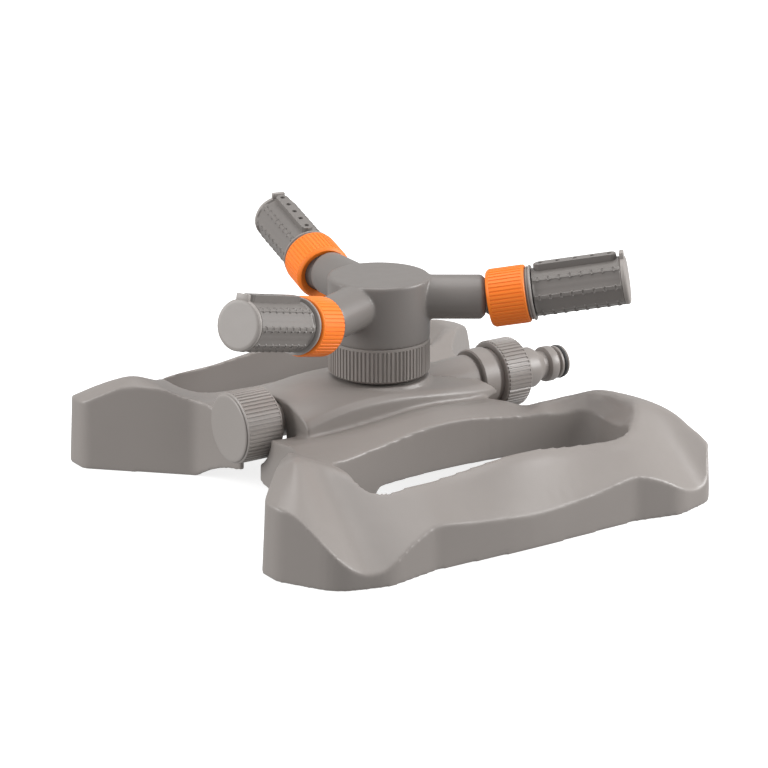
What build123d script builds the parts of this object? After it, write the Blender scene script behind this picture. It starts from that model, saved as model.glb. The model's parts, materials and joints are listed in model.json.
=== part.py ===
"""Garden sprinkler on a sled base: three turning arms with tilting, multi pattern spray barrels."""
import math
import os

from build123d import *

os.makedirs("parts", exist_ok=True)

# Frame: millimetres, +Z up, the ground is Z = 0, the rotor turns about Z through the origin,
# and +X runs along the water pipe towards the hose inlet.

# Sled moulding: plan of one half and its walls
sled_half_length = 113.5
foot_half_width = 124.0
foot_flare = 3.5
rail_half_width = foot_half_width - foot_flare
rail_bow = 1.0
apron_half_width = 42.0
wall_draft = 3.0
sled_wall = 2.4
crown_wall = 3.0
apron_arch_height = 10.0
bridge_arch_height = 15.0
bridge_arch_half_length = 34.0
bridge_arch_run = 16.0
sled_top_limit = 60.0

# Plan of the half on the +Y side as corners (x, y, rounding), front to rear
sled_corners = (
    (-70.0, 0.0, 0.0),
    (-74.0, apron_half_width, 10.0),
    (-sled_half_length, foot_half_width - 44.0, 10.0),
    (-sled_half_length, foot_half_width - 32.0, 14.0),
    (-sled_half_length + 14.5, foot_half_width - 7.0, 20.0),
    (-sled_half_length + 37.5, foot_half_width, 24.0),
    (-sled_half_length + 63.5, rail_half_width - 1.5, 20.0),
    (0.0, rail_half_width + rail_bow, 200.0),
    (sled_half_length - 55.5, rail_half_width - 1.5, 18.0),
    (sled_half_length - 33.5, foot_half_width, 20.0),
    (sled_half_length - 12.5, foot_half_width - 6.5, 14.0),
    (sled_half_length, foot_half_width - 21.0, 10.0),
    (sled_half_length, foot_half_width - 40.0, 10.0),
    (75.0, apron_half_width + 3.0, 10.0),
    (72.0, 0.0, 0.0),
)

# Wing openings between the waisted bridge and each rail
opening_waist_y = 50.0
opening_inner_y = 62.0
opening_outer_y = foot_half_width - 26.5
opening_front_x = -sled_half_length + 44.5
opening_rear_x = sled_half_length - 37.5
opening_corner = 0.36 * (opening_outer_y - opening_inner_y)

# Sculpted top. Waves are rises along X as (place, rise, length).
rail_crease_height = 16.5
crease_waves = (
    (-sled_half_length + 27.5, -10.0, 17.0),
    (-sled_half_length + 67.5, 1.5, 12.0),
    (8.0, -1.2, 28.0),
    (sled_half_length - 55.5, 2.5, 18.0),
    (sled_half_length - 16.5, -9.5, 16.0),
)
flank_slope = 0.62
flank_waves = (
    (-sled_half_length + 18.5, 0.2, 14.0),
    (3.0, 0.42, 32.0),
    (sled_half_length - 16.5, 0.23, 20.0),
)
rail_lip_height = 31.2
rail_lip_waves = ((12.0, 4.6, 38.0),)
bridge_height = 33.2
bridge_waves = ((5.0, 3.9, 32.0),)
bridge_ridge_side = 37.0
bridge_ridge_rise = 2.2
bridge_ridge_width = 9.0
nose_height = 31.0
nose_slope = 0.62
front_peak_x = -sled_half_length + 21.5
front_peak_side = foot_half_width - 51.0
front_peak_height = 46.6
front_ridge_fall = 0.45
front_inner_slope = 0.1
front_cheek_slope = 0.7
front_cheek_length = 16.0
bowl_x = sled_half_length - 55.5
bowl_side = foot_half_width - 46.0
bowl_radius = 17.0
bowl_wall = 12.0
bowl_height = 31.0
rear_peak_height = 41.0
rear_inner_side = 58.0
rear_inner_slope = 0.45
tail_height = 30.0
tail_slope = 0.5
tail_edge_height = 18.0
tail_edge_slope = 2.0
crease_blend = 3.0
crown_blend = 6.0
crown_columns = 61
crown_rows = 71
crown_tolerance = 0.15
crown_margin = 6.0

# Water pipe along X and the cover moulded over it
pipe_height = 36.0
pipe_radius = 8.2
cover_wall = 2.0
cover_gap = 0.3
cover_front_x = -56.0
cover_middle_x = 4.0
cover_saddle_x = 32.0
cover_rear_x = 58.0
cover_half_width = 27.5
cover_saddle_half_width = 24.0
cover_rear_half_width = 14.0
cover_shoulder_height = 41.0
cover_middle_shoulder = 45.4
cover_middle_crest = 47.2
cover_saddle_shoulder = 41.5
cover_rear_shoulder = 37.0
cover_saddle_crest = 43.8
cover_rear_crest = 38.5
cover_edge = 2.5
cover_brow = 0.5
channel_depth = 4.0
tail_pipe_start_x = 20.0
tail_pipe_radius = 11.0
tail_pipe_end_radius = 12.1
pipe_groove_x = 49.5
pipe_groove_width = 1.6
pipe_groove_depth = 0.9
pipe_flange_radius = 14.2
pipe_flange_end_x = 59.5
pipe_taper = 4.0
water_bore_radius = 5.5

# Threaded pipe ends, three quarter inch pipe thread drawn at its full diameter
thread_radius = 13.2
thread_chamfer = 1.0
thread_gap = 0.3
front_thread_start_x = -60.0
front_thread_length = 14.0
rear_thread_end_x = 74.0

# Screw cap on the front end and the recess around it
cap_face_x = -81.0
cap_radius = 16.3
cap_length = 18.5
cap_ribs = 50
rib_depth = 0.6
knurl_rim = 1.2
edge_break = 0.7
cap_chamfer = 1.6
washer_thickness = 2.0
recess_gap = 2.2

# Hose adaptor on the rear end
adaptor_nut_start_x = 62.5
adaptor_nut_end_x = 77.0
adaptor_nut_radius = 16.5
adaptor_ribs = 48
adaptor_dome = 2.2
adaptor_shoulder_radius = 9.8
adaptor_shoulder_end_x = 87.0
adaptor_neck_radius = 6.6
adaptor_neck_x = 91.5
adaptor_collar_x = 94.5
adaptor_collar_length = 5.0
spigot_radius = 8.5
spigot_tip_x = 105.4
spigot_tip_length = 5.0
spigot_ring_inset = 2.3
spigot_ring_radius = 1.3
spigot_ring_crush = 0.5
spigot_bore_radius = 4.5

# Spindle, rotor hub and swivel nut
boss_radius = 24.4
boss_top = 48.0
spindle_radius = 8.0
spindle_bore_radius = 5.5
spindle_flange_radius = 15.5
spindle_flange_bottom = 55.6
spindle_flange_thickness = 3.0
spindle_top = 80.0
running_gap = 0.3
hub_radius = 23.5
hub_top = 95.0
hub_parting = 66.0
hub_wall = 3.0
hub_edge_round = 1.2
hub_thread_radius = 19.2
hub_thread_length = 11.0
nut_bottom = 49.2
nut_web = 3.6
nut_ribs = 75
nut_edge_round = 1.6
riser_radius = 9.0
riser_top = 46.0
spindle_plug_radius = 7.2
spindle_plug_length = 6.0
thrust_thickness = 1.2
seal_height = 4.0
seal_section = 1.8

# Arms and knuckle joints
arm_count = 3
arm_first_angle = -34.0
arm_radius = 10.2
arm_height = 84.7
arm_chamfer = 2.0
arm_bore_radius = 6.0
ball_reach = 56.0
ball_radius = 10.0
knuckle_neck_length = 7.2
arm_end = ball_reach - knuckle_neck_length
knuckle_neck_radius = 7.4
knuckle_plug_radius = 5.7
knuckle_plug_length = 9.0
knuckle_bore_radius = 3.6
arm_names = ("right", "rear", "front")
nozzle_tilts = (9.8, 12.0, 14.3)
nozzle_swings = (-6.0, -6.0, -3.3)

# Lock ring, socket, spray barrel and end plug, along the nozzle axis from the ball centre
ring_start = -5.5
ring_end = 12.3
ring_radius = 13.4
ring_mouth_radius = 12.0
ring_lip_depth = 1.4
ring_seat_depth = 2.1
ring_bore_radius = 11.6
ring_ribs = 44
ring_round = 1.4
socket_radius = 11.3
flange_radius = 12.8
flange_start = 12.7
flange_thickness = 2.4
socket_spigot_radius = 7.6
socket_spigot_length = 12.0
socket_bore_radius = 4.0
barrel_start = 15.5
barrel_radius = 11.3
barrel_tip = 56.0
flute_count = 8
flute_depth = 0.8
flute_radius = 9.0
bar_width = 6.4
bar_height = 2.2
bar_inset = 1.2
bar_hole_radius = 1.1
bar_hole_count = 5
bar_hole_pitch = 7.9
plug_face = 58.5
plug_chamfer = 1.2
plug_tab_inset = 0.5

# Clamps that hold the pipe up against the cover, with their screws
clamp_front_x = -24.0
clamp_rear_x = 12.0
clamp_width = 10.0
clamp_thickness = 3.0
clamp_screw_y = 15.0
post_radius = 4.5
screw_radius = 2.0
screw_head_radius = 3.6
screw_head_height = 2.4
screw_length = 12.0


def bump(position, centre, width):
    """A smooth rise of height 1 at the centre."""
    return math.exp(-(((position - centre) / width) ** 2))


def step(value):
    """A smooth ramp from 0 to 1."""
    held = min(max(value, 0.0), 1.0)
    return held * held * (3.0 - 2.0 * held)


def waves(position, level, rises):
    """A level with smooth rises along it, given as (place, rise, length)."""
    return level + sum(rise * bump(position, place, length) for place, rise, length in rises)


def mixed(first, second, share):
    """The first value at share 0 and the second at share 1."""
    return first + (second - first) * share


def soft_min(first, second, blend):
    """The lower of two heights, rounded where they cross."""
    near = max(blend - abs(first - second), 0.0) / blend
    return min(first, second) - near * near * blend / 4.0


def soft_max(first, second, blend):
    """The higher of two heights, rounded where they cross."""
    return -soft_min(-first, -second, blend)


def front_pod_height(x, side):
    """Inner face of the front pod: a ridge that falls to the opening, and a cheek by the cap."""
    ridge = front_peak_height - front_ridge_fall * max(x - front_peak_x, 0.0)
    cheek = step((front_peak_x + 10.0 - x) / front_cheek_length)
    slope = mixed(front_inner_slope, front_cheek_slope, cheek)
    return ridge - slope * max(front_peak_side - side, 0.0)


def rear_pod_height(x, side):
    """Inner face of the rear pod: a bowl round the end of the opening."""
    reach = math.hypot(max(x - bowl_x, 0.0), side - bowl_side)
    bowl = mixed(bowl_height, rear_peak_height, step((reach - bowl_radius) / bowl_wall))
    return bowl - rear_inner_slope * max(rear_inner_side - side, 0.0)


def crown_height(x, y):
    """Height of the sculpted top of the sled moulding over a point of the plan."""
    side = math.hypot(y, crown_margin)
    flank = waves(x, rail_crease_height, crease_waves)
    flank += (rail_half_width - side) * waves(x, flank_slope, flank_waves)
    lip = waves(x, rail_lip_height, rail_lip_waves)
    bridge = waves(x, bridge_height, bridge_waves)
    bridge += bridge_ridge_rise * bump(side, bridge_ridge_side, bridge_ridge_width)
    across = step((opening_outer_y - side) / (opening_outer_y - opening_inner_y))
    inner = soft_max(mixed(lip, bridge, across), front_pod_height(x, side), crown_blend)
    at_rear = step((x - bowl_x + 14.0) / 14.0)
    inner = mixed(inner, rear_pod_height(x, side), at_rear)
    nose = nose_height + nose_slope * (x + sled_half_length)
    tail = tail_height + tail_slope * (sled_half_length - x)
    tail_edge = tail_edge_height + tail_edge_slope * (sled_half_length - x)
    height = soft_min(flank, inner, crease_blend)
    height = soft_min(height, nose, crown_blend)
    height = soft_min(height, tail, crown_blend)
    return soft_min(height, tail_edge, crown_blend)


def crown_face(drop):
    """The sculpted top as one smooth face, lowered by drop."""
    reach_x = sled_half_length + crown_margin
    reach_y = foot_half_width + crown_margin
    points = []
    for column in range(crown_columns):
        x = -reach_x + 2.0 * reach_x * column / (crown_columns - 1)
        line = []
        for row in range(crown_rows):
            y = -reach_y + 2.0 * reach_y * row / (crown_rows - 1)
            line.append(Vector(x, y, crown_height(x, y) - drop))
        points.append(line)
    return Face.make_surface_from_array_of_points(points, tol=crown_tolerance)


def under_crown(drop):
    """The space below the sculpted top, lowered by drop."""
    return Solid.extrude(crown_face(drop), Vector(0, 0, -2.0 * sled_top_limit))


def sled_plan(inset):
    """The whole plan of the sled moulding on the ground, moved inwards by inset."""
    with BuildSketch() as plan:
        with BuildLine():
            Polyline(*[(x, y) for x, y, _ in reversed(sled_corners)], close=True)
        make_face()
        for x, y, rounding in sled_corners:
            if rounding > 0.0:
                fillet(plan.vertices().sort_by_distance((x, y, 0))[0], rounding)
        mirror(about=Plane.XZ)
        if inset > 0.0:
            offset(amount=-inset, mode=Mode.REPLACE)
    return plan.sketch


def wing_outline(growth):
    """Plan of the opening on the +Y side, grown by growth."""
    front_x = opening_front_x - growth
    rear_x = opening_rear_x + growth
    inner_y = opening_inner_y - growth
    outer_y = opening_outer_y + growth
    with BuildSketch() as plan:
        with BuildLine():
            sides = Polyline((front_x, inner_y), (front_x, outer_y), (rear_x, outer_y),
                             (rear_x, inner_y))
            ThreePointArc(sides @ 1, ((front_x + rear_x) / 2, opening_waist_y - growth), sides @ 0)
        make_face()
        fillet(plan.vertices(), opening_corner + growth)
    return plan.sketch


def profile_plane(axis_plane):
    """The plane for turned profiles: X is the radius and Y runs along the axis plane's Z."""
    return Plane(origin=axis_plane.origin, x_dir=axis_plane.x_dir, z_dir=-axis_plane.y_dir)


def turned(axis_plane, profile, arc_through=None):
    """A turned solid from (distance along the axis, radius) pairs, closed by a line or an arc."""
    corners = [(radius, along) for along, radius in profile]
    with BuildPart() as body:
        with BuildSketch(profile_plane(axis_plane)):
            with BuildLine():
                Polyline(*corners, close=arc_through is None)
                if arc_through is not None:
                    ThreePointArc(corners[-1], (arc_through[1], arc_through[0]), corners[0])
            make_face()
        revolve(axis=Axis(axis_plane.origin, axis_plane.z_dir))
    return body.part


def ribs_around(axis_plane, start, end, radius, ribs):
    """Knurled band for a turned body: the ribs stand out by rib_depth."""
    points = []
    for index in range(2 * ribs):
        reach = radius if index % 2 == 0 else radius - rib_depth
        angle = math.pi * index / ribs
        points.append((reach * math.cos(angle), reach * math.sin(angle)))
    with BuildPart() as band:
        with BuildSketch(axis_plane.offset(start)):
            with BuildLine():
                Polyline(*points, close=True)
            make_face()
            Circle(radius - 3.0 * rib_depth, mode=Mode.SUBTRACT)
        extrude(amount=end - start)
    return band.part


# Pieces are collected under their node names and written at the end
pieces = {}

world_axis = Plane.XY
pipe_axis = Plane(origin=(0, 0, pipe_height), x_dir=(0, 1, 0), z_dir=(1, 0, 0))

# Sled moulding: drafted outline cut to the crown, hollow below, with open wings
cover_outer_radius = pipe_radius + cover_gap + cover_wall
cover_crest = pipe_height + cover_outer_radius
cover_bottom = pipe_height - channel_depth
post_end = cover_bottom - 2.0
screw_places = [
    (x, y) for x in (clamp_front_x, clamp_rear_x) for y in (-clamp_screw_y, clamp_screw_y)
]
recess_radius = cap_radius + recess_gap
nut_recess_radius = adaptor_nut_radius + recess_gap

# The cover over the pipe: sections from front to rear as (x, half width, shoulder, crest)
cover_sections = (
    (cover_front_x, cover_half_width, cover_shoulder_height, cover_crest),
    (cover_middle_x, cover_half_width, cover_middle_shoulder, cover_middle_crest),
    (cover_saddle_x, cover_saddle_half_width, cover_saddle_shoulder, cover_saddle_crest),
    (cover_rear_x, cover_rear_half_width, cover_rear_shoulder, cover_rear_crest),
)


def cover_section(x, half_width, shoulder, crest):
    """One section of the cover: upright flanks, rounded shoulders and a crest over the pipe."""
    brow = cover_brow * half_width
    brow_height = mixed(shoulder, crest, 1.0 - cover_brow ** 2)
    with BuildSketch(Plane.YZ.offset(x)) as section:
        with BuildLine():
            flank = Polyline(
                (-half_width + cover_edge, shoulder),
                (-half_width, shoulder - cover_edge),
                (-half_width, cover_bottom),
                (half_width, cover_bottom),
                (half_width, shoulder - cover_edge),
                (half_width - cover_edge, shoulder),
            )
            Spline(flank @ 1, (brow, brow_height), (0.0, crest), (-brow, brow_height), flank @ 0)
        make_face()
    return section.sketch


with BuildPart() as pipe_cover:
    for section_size in cover_sections:
        add(cover_section(*section_size))
    loft(ruled=False)

# The hollow underside: inset plan and lowered crown, less a wall round everything that it meets
with BuildPart() as sled_cavity:
    with BuildSketch():
        add(sled_plan(sled_wall))
        add(wing_outline(sled_wall), mode=Mode.SUBTRACT)
        mirror(wing_outline(sled_wall), about=Plane.XZ, mode=Mode.SUBTRACT)
    extrude(amount=sled_top_limit, taper=wall_draft)
    add(under_crown(crown_wall), mode=Mode.INTERSECT)
    with BuildSketch(Plane.XY.offset(post_end)):
        with Locations(*screw_places):
            Circle(post_radius)
    extrude(amount=sled_top_limit, mode=Mode.SUBTRACT)
    with BuildSketch(pipe_axis.offset(-sled_half_length)):
        Circle(recess_radius + sled_wall)
    extrude(amount=sled_half_length + cover_front_x + sled_wall, mode=Mode.SUBTRACT)
    with BuildSketch(pipe_axis.offset(cover_rear_x - sled_wall)):
        Circle(nut_recess_radius + sled_wall)
    extrude(amount=sled_half_length, mode=Mode.SUBTRACT)
    with BuildSketch(pipe_axis.offset(tail_pipe_start_x - sled_wall)):
        Circle(pipe_flange_radius + cover_gap + cover_wall)
    extrude(amount=sled_half_length, mode=Mode.SUBTRACT)

with BuildPart() as sled_base:
    with BuildSketch():
        add(sled_plan(0.0))
    extrude(amount=sled_top_limit, taper=wall_draft)
    add(under_crown(0.0), mode=Mode.INTERSECT)
    add(sled_cavity.part, mode=Mode.SUBTRACT)
    # The cover over the pipe and the boss under the rotor
    add(pipe_cover.part)
    with BuildSketch(Plane.XY.offset(cover_bottom)):
        Circle(boss_radius)
    extrude(amount=boss_top - cover_bottom, taper=wall_draft)
    # Pilot holes of the clamp screws
    with BuildSketch(Plane.XY.offset(post_end)):
        with Locations(*screw_places):
            Circle(screw_radius)
    extrude(amount=screw_length - clamp_thickness, mode=Mode.SUBTRACT)
    # Wing openings
    with BuildSketch():
        add(wing_outline(0.0))
        mirror(about=Plane.XZ)
    extrude(amount=sled_top_limit, mode=Mode.SUBTRACT)
    # Channel for the pipe, open below, then the round recesses for cap and hose nut
    with BuildSketch(pipe_axis.offset(cover_front_x - 20.0)):
        SlotOverall(4 * pipe_height, 2 * (pipe_radius + cover_gap), rotation=90)
        Rectangle(4 * pipe_radius, 4 * pipe_height, align=(Align.CENTER, Align.MIN), mode=Mode.SUBTRACT)
        Circle(pipe_radius + cover_gap)
    extrude(amount=120.0, mode=Mode.SUBTRACT)
    add(turned(pipe_axis, (
        (tail_pipe_start_x, 0.0),
        (tail_pipe_start_x, pipe_radius + cover_gap),
        (tail_pipe_start_x + pipe_taper, tail_pipe_radius + cover_gap),
        (pipe_groove_x, tail_pipe_end_radius + cover_gap),
        (pipe_groove_x, pipe_flange_radius + cover_gap),
        (sled_half_length, pipe_flange_radius + cover_gap),
        (sled_half_length, 0.0),
    )), mode=Mode.SUBTRACT)
    with BuildSketch(pipe_axis.offset(cover_front_x - sled_half_length)):
        Circle(recess_radius)
    extrude(amount=sled_half_length, mode=Mode.SUBTRACT)
    with BuildSketch(pipe_axis.offset(cover_rear_x)):
        Circle(nut_recess_radius)
    extrude(amount=sled_half_length, mode=Mode.SUBTRACT)
    # Arch under the bridge from wing to wing
    with BuildSketch(Plane.XZ.offset(-opening_inner_y)):
        with BuildLine():
            Polyline(
                (-bridge_arch_half_length - bridge_arch_run, 0.0),
                (-bridge_arch_half_length, bridge_arch_height),
                (bridge_arch_half_length, bridge_arch_height),
                (bridge_arch_half_length + bridge_arch_run, 0.0),
                close=True,
            )
        make_face()
    extrude(amount=2 * opening_inner_y, mode=Mode.SUBTRACT)
    # Riser hole through the boss
    with BuildSketch(Plane.XY.offset(cover_bottom)):
        Circle(riser_radius + cover_gap)
    extrude(amount=sled_top_limit, mode=Mode.SUBTRACT)
    # Raised arches under the front and rear aprons
    with BuildSketch(Plane.YZ.offset(-sled_half_length)):
        with BuildLine():
            arch = Polyline((apron_half_width, 0.0), (-apron_half_width, 0.0))
            Spline(arch @ 1, (-18.0, apron_arch_height), (18.0, apron_arch_height), arch @ 0)
        make_face()
    extrude(amount=2 * sled_half_length, mode=Mode.SUBTRACT)
sled_base.part.label = "sled_base"
pieces["sled_base"] = sled_base.part

# Water pipe: a moulded tube with threaded ends and a socket for the riser
with BuildPart() as water_pipe:
    add(turned(pipe_axis, (
            (front_thread_start_x - front_thread_length, 0.0),
            (front_thread_start_x - front_thread_length, thread_radius - thread_chamfer),
            (front_thread_start_x - front_thread_length + thread_chamfer, thread_radius),
            (front_thread_start_x, thread_radius),
            (front_thread_start_x + thread_chamfer, pipe_radius),
            (tail_pipe_start_x, pipe_radius),
            (tail_pipe_start_x + pipe_taper, tail_pipe_radius),
            (pipe_groove_x, tail_pipe_end_radius),
            (pipe_groove_x, tail_pipe_end_radius - pipe_groove_depth),
            (pipe_groove_x + pipe_groove_width, tail_pipe_end_radius - pipe_groove_depth),
            (pipe_groove_x + pipe_groove_width, pipe_flange_radius - edge_break),
            (pipe_groove_x + pipe_groove_width + edge_break, pipe_flange_radius),
            (pipe_flange_end_x, pipe_flange_radius),
            (pipe_flange_end_x, thread_radius),
            (rear_thread_end_x - thread_chamfer, thread_radius),
            (rear_thread_end_x, thread_radius - thread_chamfer),
            (rear_thread_end_x, 0.0),
    )))
    with BuildSketch(Plane.XY.offset(pipe_height)):
        Circle(riser_radius)
    extrude(amount=riser_top - pipe_height)
    with BuildSketch(pipe_axis.offset(front_thread_start_x - front_thread_length)):
        Circle(water_bore_radius)
    extrude(amount=200.0, mode=Mode.SUBTRACT)
    with BuildSketch(Plane.XY.offset(pipe_height)):
        Circle(spindle_bore_radius)
    extrude(amount=riser_top, mode=Mode.SUBTRACT)
    with BuildSketch(Plane.XY.offset(riser_top - spindle_plug_length)):
        Circle(spindle_plug_radius)
    extrude(amount=spindle_plug_length, mode=Mode.SUBTRACT)
water_pipe.part.label = "water_pipe"
pieces["water_pipe"] = water_pipe.part

# Clamps under the pipe, and their screws
for clamp_name, clamp_middle in (("clamp_front", clamp_front_x), ("clamp_rear", clamp_rear_x)):
    with BuildPart() as clamp:
        with BuildSketch(Plane.YZ.offset(clamp_middle - clamp_width / 2)):
            with Locations((0.0, post_end - clamp_thickness / 2)):
                Rectangle(2 * (clamp_screw_y + post_radius), clamp_thickness)
            with Locations((0.0, pipe_height)):
                Circle(pipe_radius + clamp_thickness)
                Circle(pipe_radius, mode=Mode.SUBTRACT)
            with Locations((0.0, post_end)):
                Rectangle(8 * pipe_radius, 8 * pipe_radius, align=(Align.CENTER, Align.MIN),
                          mode=Mode.SUBTRACT)
        extrude(amount=clamp_width)
        with BuildSketch(Plane.XY):
            with Locations((clamp_middle, clamp_screw_y), (clamp_middle, -clamp_screw_y)):
                Circle(screw_radius + 0.1)
        extrude(amount=pipe_height, mode=Mode.SUBTRACT)
    clamp.part.label = clamp_name
    pieces[clamp_name] = clamp.part

screw_end = screw_head_height + screw_length - 0.5
screw_profile = (
    (0.0, 0.0),
    (0.0, screw_head_radius),
    (screw_head_height, screw_head_radius),
    (screw_head_height, screw_radius),
    (screw_end - screw_radius, screw_radius),
    (screw_end, 0.0),
)
with BuildPart() as clamp_screws:
    for screw_x, screw_y in screw_places:
        head_bottom = post_end - clamp_thickness - screw_head_height
        add(turned(Plane(origin=(screw_x, screw_y, head_bottom)), screw_profile))
clamp_screws.part.label = "clamp_screws"
pieces["clamp_screws"] = clamp_screws.part

# Screw cap with its washer; the washer sits against the end of the thread
cap_floor_x = front_thread_start_x - front_thread_length - washer_thickness
cap_body_radius = cap_radius - rib_depth
with BuildPart() as end_cap:
    add(turned(pipe_axis, (
        (cap_face_x, 0.0),
        (cap_face_x, cap_body_radius - edge_break),
        (cap_face_x + edge_break, cap_body_radius),
        (cap_face_x + cap_length, cap_body_radius),
        (cap_face_x + cap_length + cap_chamfer, cap_body_radius - cap_chamfer),
        (cap_face_x + cap_length + cap_chamfer, thread_radius + thread_gap),
        (cap_floor_x, thread_radius + thread_gap),
        (cap_floor_x, 0.0),
    )))
    add(ribs_around(pipe_axis, cap_face_x + knurl_rim, cap_face_x + cap_length, cap_radius,
                    cap_ribs))
end_cap.part.label = "end_cap"
pieces["end_cap"] = end_cap.part

with BuildPart() as cap_washer:
    with BuildSketch(pipe_axis.offset(cap_floor_x)):
        Circle(thread_radius)
        Circle(water_bore_radius + 1.0, mode=Mode.SUBTRACT)
    extrude(amount=washer_thickness)
cap_washer.part.label = "cap_washer"
pieces["cap_washer"] = cap_washer.part

# Hose adaptor: knurled nut and quick connect spigot in one, with a washer and an O ring
adaptor_floor_x = rear_thread_end_x + washer_thickness
adaptor_body_radius = adaptor_nut_radius - rib_depth
ring_seat_x = spigot_tip_x - spigot_ring_inset
tip_radius = spigot_radius - spigot_ring_crush
ring_seat_radius = spigot_radius - 2.2 * spigot_ring_radius
with BuildPart() as hose_adaptor:
    add(turned(pipe_axis, (
        (adaptor_nut_start_x, thread_radius + thread_gap),
        (adaptor_nut_start_x, adaptor_body_radius - edge_break),
        (adaptor_nut_start_x + edge_break, adaptor_body_radius),
        (adaptor_nut_end_x - edge_break, adaptor_body_radius),
        (adaptor_nut_end_x, adaptor_body_radius - edge_break),
        (adaptor_nut_end_x + edge_break, adaptor_shoulder_radius + adaptor_dome),
        (adaptor_nut_end_x + edge_break + adaptor_dome, adaptor_shoulder_radius),
        (adaptor_shoulder_end_x, adaptor_shoulder_radius),
        (adaptor_neck_x, adaptor_neck_radius),
        (adaptor_collar_x - edge_break, adaptor_neck_radius),
        (adaptor_collar_x, spigot_radius),
        (adaptor_collar_x + adaptor_collar_length - 2 * edge_break, spigot_radius),
        (adaptor_collar_x + adaptor_collar_length, adaptor_neck_radius),
        (spigot_tip_x - spigot_tip_length - edge_break, adaptor_neck_radius),
        (spigot_tip_x - spigot_tip_length, tip_radius),
        (ring_seat_x - spigot_ring_radius, tip_radius),
        (ring_seat_x - spigot_ring_radius, ring_seat_radius),
        (ring_seat_x + spigot_ring_radius, ring_seat_radius),
        (ring_seat_x + spigot_ring_radius, tip_radius),
        (spigot_tip_x - edge_break, tip_radius),
        (spigot_tip_x, tip_radius - edge_break),
        (spigot_tip_x, spigot_bore_radius),
        (adaptor_floor_x, spigot_bore_radius),
        (adaptor_floor_x, thread_radius + thread_gap),
    )))
    add(ribs_around(pipe_axis, adaptor_nut_start_x + knurl_rim, adaptor_nut_end_x - edge_break,
                    adaptor_nut_radius, adaptor_ribs))
hose_adaptor.part.label = "hose_adaptor"
pieces["hose_adaptor"] = hose_adaptor.part

with BuildPart() as adaptor_washer:
    with BuildSketch(pipe_axis.offset(rear_thread_end_x)):
        Circle(thread_radius)
        Circle(water_bore_radius + 1.0, mode=Mode.SUBTRACT)
    extrude(amount=washer_thickness)
adaptor_washer.part.label = "adaptor_washer"
pieces["adaptor_washer"] = adaptor_washer.part

with BuildPart() as spigot_ring:
    add(turned(pipe_axis, (
        (ring_seat_x - spigot_ring_radius, ring_seat_radius),
        (ring_seat_x - spigot_ring_radius, ring_seat_radius + spigot_ring_radius),
        (ring_seat_x - 0.5 * spigot_ring_radius, ring_seat_radius + 2 * spigot_ring_radius),
        (ring_seat_x + 0.5 * spigot_ring_radius, ring_seat_radius + 2 * spigot_ring_radius),
        (ring_seat_x + spigot_ring_radius, ring_seat_radius + spigot_ring_radius),
        (ring_seat_x + spigot_ring_radius, ring_seat_radius),
    )))
spigot_ring.part.label = "spigot_ring"
pieces["spigot_ring"] = spigot_ring.part

# Spindle: screwed into the riser, its flange carries the rotor
with BuildPart() as spindle:
    add(turned(world_axis, (
        (riser_top - spindle_plug_length, spindle_bore_radius),
        (riser_top - spindle_plug_length, spindle_plug_radius),
        (riser_top, spindle_plug_radius),
        (riser_top, spindle_radius + 1.0),
        (riser_top + 1.5, spindle_radius + 1.0),
        (riser_top + 1.5, spindle_radius),
        (spindle_flange_bottom, spindle_radius),
        (spindle_flange_bottom, spindle_flange_radius),
        (spindle_flange_bottom + spindle_flange_thickness, spindle_flange_radius),
        (spindle_flange_bottom + spindle_flange_thickness, spindle_radius),
        (spindle_top, spindle_radius),
        (spindle_top, spindle_bore_radius),
    )))
spindle.part.label = "spindle"
pieces["spindle"] = spindle.part

flange_top = spindle_flange_bottom + spindle_flange_thickness
with BuildPart() as thrust_washer:
    with BuildSketch(Plane.XY.offset(flange_top)):
        Circle(spindle_flange_radius)
        Circle(spindle_radius + 0.1, mode=Mode.SUBTRACT)
    extrude(amount=thrust_thickness)
thrust_washer.part.label = "thrust_washer"
pieces["thrust_washer"] = thrust_washer.part

# Rotor hub with its three arms, hollow for the water
hub_shoulder = flange_top + thrust_thickness + running_gap
seal_seat = hub_shoulder + seal_height
arm_angles = [arm_first_angle + 360.0 * index / arm_count for index in range(arm_count)]
arm_planes = []
for angle in arm_angles:
    outward = (math.cos(math.radians(angle)), math.sin(math.radians(angle)), 0.0)
    across = (-outward[1], outward[0], 0.0)
    arm_planes.append(Plane(origin=(0, 0, arm_height), x_dir=across, z_dir=outward))

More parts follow.
